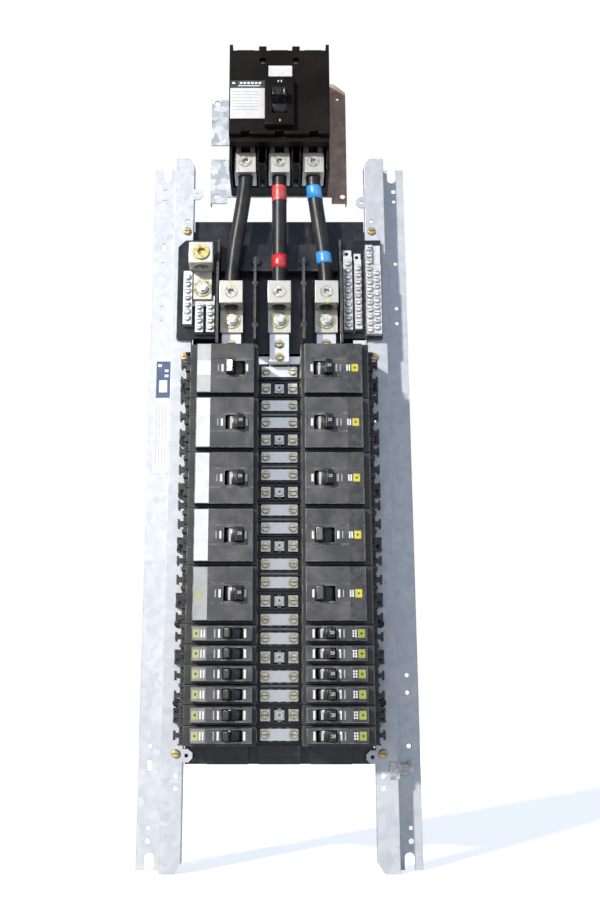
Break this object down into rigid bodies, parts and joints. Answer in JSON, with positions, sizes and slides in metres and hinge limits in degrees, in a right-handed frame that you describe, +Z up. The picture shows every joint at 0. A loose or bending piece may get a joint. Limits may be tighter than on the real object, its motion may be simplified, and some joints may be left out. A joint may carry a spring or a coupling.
{
  "type": "three-phase panelboard interior",
  "caption": "Open panelboard interior: rails carrying a main breaker, cables, lugs, neutral and ground bars, and two columns of branch breakers with working toggles.",
  "frame": {"origin": "centre of the four rail screw holes, on the wall plane behind the rails", "axes": "+X to the right seen from the front, +Y into the wall, +Z up along the rails"},
  "size_m": [0.287, 0.1103, 0.8725],
  "materials": {
    "galvanised_steel": "hot-dip galvanised sheet, faint spangle",
    "weathered_steel": "galvanised sheet, spangled at the left and rust stained at the right",
    "black_moulding": "moulded phenolic, satin",
    "barrier_sheet": "thin black insulating sheet",
    "case_plastic": "dark grey moulded case, satin",
    "main_case_plastic": "black-brown moulded case, low gloss",
    "handle_plastic": "black moulded",
    "contact_bar_plastic": "moulded contact carrier",
    "tin_plated_bus": "tin-plated bar",
    "lug_aluminium": "extruded, plated",
    "zinc_screw": "yellow zinc plated",
    "bright_screw": "bright zinc plated",
    "dark_screw": "blackened steel",
    "cable_jacket": "black extruded insulation",
    "spring_steel": "bright spring steel"
  },
  "bodies": {
    "frame_assembly": {"bar_screws": "bright_screw", "branch_connectors": "tin_plated_bus", "bus_bars": "tin_plated_bus", "connector_screws": "zinc_screw", "ground_bars": "tin_plated_bus", "interior_base": "black_moulding", "left_rail": "galvanised_steel", "load_terminal_screws": "dark_screw", "lug_base": "black_moulding", "lug_set_screws": "bright_screw", "main_breaker_base": "main_case_plastic", "main_breaker_cover": "main_case_plastic", "main_breaker_lugs": "lug_aluminium", "main_bus_lugs": "lug_aluminium", "main_cables": "cable_jacket", "mounting_pan": "weathered_steel", "mounting_screws": "zinc_screw", "neutral_bars": "tin_plated_bus", "neutral_lug": "lug_aluminium", "phase_barriers": "barrier_sheet", "right_rail": "galvanised_steel", "single_pole_cases_left": "case_plastic", "single_pole_cases_right": "case_plastic", "spring_clip": "spring_steel", "tang_bolts": "zinc_screw", "terminal_bar_bases": "black_moulding", "three_pole_case_left_1": "case_plastic", "three_pole_case_left_2": "case_plastic", "three_pole_case_left_3": "case_plastic", "three_pole_case_left_4": "case_plastic", "three_pole_case_left_5": "case_plastic", "three_pole_case_right_1": "case_plastic", "three_pole_case_right_2": "case_plastic", "three_pole_case_right_3": "case_plastic", "three_pole_case_right_4": "case_plastic", "three_pole_case_right_5": "case_plastic"},
    "three_pole_handle_left_1": {"three_pole_handle_left_1": "handle_plastic"},
    "three_pole_handle_left_2": {"three_pole_handle_left_2": "handle_plastic"},
    "three_pole_handle_left_3": {"three_pole_handle_left_3": "handle_plastic"},
    "three_pole_handle_left_4": {"three_pole_handle_left_4": "handle_plastic"},
    "three_pole_handle_left_5": {"three_pole_handle_left_5": "handle_plastic"},
    "single_pole_handle_left_1": {"single_pole_handle_left_1": "handle_plastic"},
    "single_pole_handle_left_2": {"single_pole_handle_left_2": "handle_plastic"},
    "single_pole_handle_left_3": {"single_pole_handle_left_3": "handle_plastic"},
    "single_pole_handle_left_4": {"single_pole_handle_left_4": "handle_plastic"},
    "single_pole_handle_left_5": {"single_pole_handle_left_5": "handle_plastic"},
    "single_pole_handle_left_6": {"single_pole_handle_left_6": "handle_plastic"},
    "three_pole_handle_right_1": {"three_pole_handle_right_1": "handle_plastic"},
    "three_pole_handle_right_2": {"three_pole_handle_right_2": "handle_plastic"},
    "three_pole_handle_right_3": {"three_pole_handle_right_3": "handle_plastic"},
    "three_pole_handle_right_4": {"three_pole_handle_right_4": "handle_plastic"},
    "three_pole_handle_right_5": {"three_pole_handle_right_5": "handle_plastic"},
    "single_pole_handle_right_1": {"single_pole_handle_right_1": "handle_plastic"},
    "single_pole_handle_right_2": {"single_pole_handle_right_2": "handle_plastic"},
    "single_pole_handle_right_3": {"single_pole_handle_right_3": "handle_plastic"},
    "single_pole_handle_right_4": {"single_pole_handle_right_4": "handle_plastic"},
    "single_pole_handle_right_5": {"single_pole_handle_right_5": "handle_plastic"},
    "single_pole_handle_right_6": {"single_pole_handle_right_6": "handle_plastic"},
    "main_handle": {"main_handle": "handle_plastic"},
    "main_contact_bar": {"main_contact_bar": "contact_bar_plastic"}
  },
  "joints": [
    {"name": "three_pole_handle_left_1_throw", "type": "hinge", "parent": "frame_assembly", "child": "three_pole_handle_left_1", "pos_m": [-0.0445, -0.082, 0.10995], "axis": [0, 0, 1], "range_deg": [0, 26]},
    {"name": "three_pole_handle_left_2_throw", "type": "hinge", "parent": "frame_assembly", "child": "three_pole_handle_left_2", "pos_m": [-0.0445, -0.082, 0.0528], "axis": [0, 0, 1], "range_deg": [-26, 0]},
    {"name": "three_pole_handle_left_3_throw", "type": "hinge", "parent": "frame_assembly", "child": "three_pole_handle_left_3", "pos_m": [-0.0445, -0.082, -0.00435], "axis": [0, 0, 1], "range_deg": [-26, 0]},
    {"name": "three_pole_handle_left_4_throw", "type": "hinge", "parent": "frame_assembly", "child": "three_pole_handle_left_4", "pos_m": [-0.0445, -0.082, -0.0615], "axis": [0, 0, 1], "range_deg": [-26, 0]},
    {"name": "three_pole_handle_left_5_throw", "type": "hinge", "parent": "frame_assembly", "child": "three_pole_handle_left_5", "pos_m": [-0.0445, -0.082, -0.11865], "axis": [0, 0, 1], "range_deg": [-26, 0]},
    {"name": "single_pole_handle_left_1_throw", "type": "hinge", "parent": "frame_assembly", "child": "single_pole_handle_left_1", "pos_m": [-0.0445, -0.082, -0.15675], "axis": [0, 0, 1], "range_deg": [0, 26]},
    {"name": "single_pole_handle_left_2_throw", "type": "hinge", "parent": "frame_assembly", "child": "single_pole_handle_left_2", "pos_m": [-0.0445, -0.082, -0.1758], "axis": [0, 0, 1], "range_deg": [0, 26]},
    {"name": "single_pole_handle_left_3_throw", "type": "hinge", "parent": "frame_assembly", "child": "single_pole_handle_left_3", "pos_m": [-0.0445, -0.082, -0.19485], "axis": [0, 0, 1], "range_deg": [0, 26]},
    {"name": "single_pole_handle_left_4_throw", "type": "hinge", "parent": "frame_assembly", "child": "single_pole_handle_left_4", "pos_m": [-0.0445, -0.082, -0.2139], "axis": [0, 0, 1], "range_deg": [0, 26]},
    {"name": "single_pole_handle_left_5_throw", "type": "hinge", "parent": "frame_assembly", "child": "single_pole_handle_left_5", "pos_m": [-0.0445, -0.082, -0.23295], "axis": [0, 0, 1], "range_deg": [0, 26]},
    {"name": "single_pole_handle_left_6_throw", "type": "hinge", "parent": "frame_assembly", "child": "single_pole_handle_left_6", "pos_m": [-0.0445, -0.082, -0.252], "axis": [0, 0, 1], "range_deg": [0, 26]},
    {"name": "three_pole_handle_right_1_throw", "type": "hinge", "parent": "frame_assembly", "child": "three_pole_handle_right_1", "pos_m": [0.0445, -0.082, 0.10995], "axis": [0, 0, 1], "range_deg": [-26, 0]},
    {"name": "three_pole_handle_right_2_throw", "type": "hinge", "parent": "frame_assembly", "child": "three_pole_handle_right_2", "pos_m": [0.0445, -0.082, 0.0528], "axis": [0, 0, 1], "range_deg": [-26, 0]},
    {"name": "three_pole_handle_right_3_throw", "type": "hinge", "parent": "frame_assembly", "child": "three_pole_handle_right_3", "pos_m": [0.0445, -0.082, -0.00435], "axis": [0, 0, 1], "range_deg": [-26, 0]},
    {"name": "three_pole_handle_right_4_throw", "type": "hinge", "parent": "frame_assembly", "child": "three_pole_handle_right_4", "pos_m": [0.0445, -0.082, -0.0615], "axis": [0, 0, 1], "range_deg": [0, 26]},
    {"name": "three_pole_handle_right_5_throw", "type": "hinge", "parent": "frame_assembly", "child": "three_pole_handle_right_5", "pos_m": [0.0445, -0.082, -0.11865], "axis": [0, 0, 1], "range_deg": [0, 26]},
    {"name": "single_pole_handle_right_1_throw", "type": "hinge", "parent": "frame_assembly", "child": "single_pole_handle_right_1", "pos_m": [0.0445, -0.082, -0.15675], "axis": [0, 0, 1], "range_deg": [-26, 0]},
    {"name": "single_pole_handle_right_2_throw", "type": "hinge", "parent": "frame_assembly", "child": "single_pole_handle_right_2", "pos_m": [0.0445, -0.082, -0.1758], "axis": [0, 0, 1], "range_deg": [-26, 0]},
    {"name": "single_pole_handle_right_3_throw", "type": "hinge", "parent": "frame_assembly", "child": "single_pole_handle_right_3", "pos_m": [0.0445, -0.082, -0.19485], "axis": [0, 0, 1], "range_deg": [-26, 0]},
    {"name": "single_pole_handle_right_4_throw", "type": "hinge", "parent": "frame_assembly", "child": "single_pole_handle_right_4", "pos_m": [0.0445, -0.082, -0.2139], "axis": [0, 0, 1], "range_deg": [-26, 0]},
    {"name": "single_pole_handle_right_5_throw", "type": "hinge", "parent": "frame_assembly", "child": "single_pole_handle_right_5", "pos_m": [0.0445, -0.082, -0.23295], "axis": [0, 0, 1], "range_deg": [-26, 0]},
    {"name": "single_pole_handle_right_6_throw", "type": "hinge", "parent": "frame_assembly", "child": "single_pole_handle_right_6", "pos_m": [0.0445, -0.082, -0.252], "axis": [0, 0, 1], "range_deg": [-26, 0]},
    {"name": "main_handle_throw", "type": "hinge", "parent": "frame_assembly", "child": "main_handle", "pos_m": [0, -0.082, 0.4132], "axis": [1, 0, 0], "range_deg": [0, 26]},
    {"name": "main_contact_swing", "type": "hinge", "parent": "frame_assembly", "child": "main_contact_bar", "pos_m": [0, -0.05, 0.436], "axis": [1, 0, 0], "range_deg": [-18.6, 0]}
  ],
  "couplings": [
    {"joint": "main_contact_swing", "follows": "main_handle_throw", "ratio": -0.7}
  ]
}
